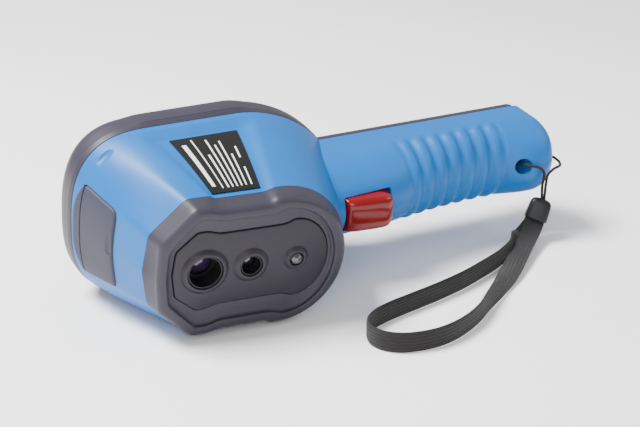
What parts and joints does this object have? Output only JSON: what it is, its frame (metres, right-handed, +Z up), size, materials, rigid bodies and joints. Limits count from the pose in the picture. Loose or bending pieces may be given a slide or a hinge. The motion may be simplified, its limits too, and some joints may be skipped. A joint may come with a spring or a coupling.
{
  "type": "thermal imaging camera",
  "caption": "Handheld thermal imaging camera with a blue shell, dark display housing, lens panel, red trigger, ribbed handle and wrist strap, lying on its side.",
  "frame": {"origin": "under the middle of the camera without its strap, on the table that it lies on", "axes": "+Z up from the table, +X along the handle towards its butt, -Y towards the scene that the lenses look at"},
  "size_m": [0.2356, 0.1325, 0.081],
  "materials": {
    "blue_plastic": "satin moulded plastic",
    "charcoal_plastic": "fine matte texture",
    "panel_plastic": "fine matte texture",
    "black_plastic": "satin",
    "infrared_glass": "polished",
    "dark_glass": "polished",
    "clear_plastic": "clear, polished",
    "circuit_board": "satin",
    "charcoal_rubber": "matte",
    "bright_steel": "brushed",
    "cast_aluminium": "satin",
    "display_backing": "satin",
    "battery_wrap": "shrink film over metal",
    "red_plastic": "glossy",
    "label_film": "satin film",
    "strap_fabric": "woven"
  },
  "bodies": {
    "housing": {"front_shell": "blue_plastic", "rear_cover": "charcoal_plastic", "lens_bezel": "charcoal_plastic", "lens_panel": "panel_plastic", "ir_lens_barrel": "black_plastic", "ir_lens": "infrared_glass", "ir_sensor_module": "cast_aluminium", "visible_camera_barrel": "black_plastic", "visible_camera_lens": "dark_glass", "camera_module": "circuit_board", "led_lens": "clear_plastic", "led_emitter": "circuit_board", "port_cover_root": "charcoal_rubber", "usb_socket": "bright_steel", "card_socket": "bright_steel", "memory_card": "black_plastic", "trigger_pin": "bright_steel", "trigger_switch": "black_plastic", "label_plate": "label_film", "display_glass": "dark_glass", "display_panel": "display_backing", "keypad_board": "circuit_board", "power_switch": "black_plastic", "main_board": "circuit_board", "chassis_plate": "bright_steel", "battery_pack": "battery_wrap", "battery_tray": "black_plastic", "cover_screw_1": "bright_steel", "cover_screw_2": "bright_steel", "cover_screw_3": "bright_steel", "cover_screw_4": "bright_steel", "cover_screw_5": "bright_steel", "cover_screw_6": "bright_steel", "strap_cord": "strap_fabric", "strap_cap": "charcoal_plastic", "strap_webbing": "strap_fabric"},
    "trigger": {"trigger": "red_plastic", "trigger_spring": "bright_steel"},
    "port_cover": {"port_cover": "charcoal_rubber"},
    "shutter_flag": {"shutter_flag": "bright_steel"},
    "button_up": {"button_up": "charcoal_rubber"},
    "button_down": {"button_down": "charcoal_rubber"},
    "button_left": {"button_left": "charcoal_rubber"},
    "button_right": {"button_right": "charcoal_rubber"},
    "button_ok": {"button_ok": "charcoal_rubber"},
    "button_power": {"button_power": "charcoal_rubber"}
  },
  "joints": [
    {"name": "trigger_pull", "type": "hinge", "parent": "housing", "child": "trigger", "pos_m": [-0.00129, -0.00955, 0.03513], "axis": [0, -0.1471, 0.9891], "range_deg": [0, 7], "stiffness_Nm_per_rad": 0.12, "springref_deg": -14.32},
    {"name": "port_cover_hinge", "type": "hinge", "parent": "housing", "child": "port_cover", "pos_m": [-0.11493, 0.01329, 0.03853], "axis": [0, 0.1471, -0.9891], "range_deg": [0, 110]},
    {"name": "shutter_swing", "type": "hinge", "parent": "housing", "child": "shutter_flag", "pos_m": [-0.07886, -0.02046, 0.02239], "axis": [-0.0924, -0.9849, -0.1465], "range_deg": [0, 60]},
    {"name": "press_up", "type": "slide", "parent": "housing", "child": "button_up", "axis": [0, -0.9891, -0.1471], "range_m": [0, 0.0007], "stiffness_N_per_m": 600, "springref_m": -0.0008},
    {"name": "press_down", "type": "slide", "parent": "housing", "child": "button_down", "axis": [0, -0.9891, -0.1471], "range_m": [0, 0.0007], "stiffness_N_per_m": 600, "springref_m": -0.0008},
    {"name": "press_left", "type": "slide", "parent": "housing", "child": "button_left", "axis": [0, -0.9891, -0.1471], "range_m": [0, 0.0007], "stiffness_N_per_m": 600, "springref_m": -0.0008},
    {"name": "press_right", "type": "slide", "parent": "housing", "child": "button_right", "axis": [0, -0.9891, -0.1471], "range_m": [0, 0.0007], "stiffness_N_per_m": 600, "springref_m": -0.0008},
    {"name": "press_ok", "type": "slide", "parent": "housing", "child": "button_ok", "axis": [0, -0.9891, -0.1471], "range_m": [0, 0.0007], "stiffness_N_per_m": 600, "springref_m": -0.0008},
    {"name": "press_power", "type": "slide", "parent": "housing", "child": "button_power", "axis": [0, -0.9891, -0.1471], "range_m": [0, 0.0007], "stiffness_N_per_m": 600, "springref_m": -0.0008}
  ]
}
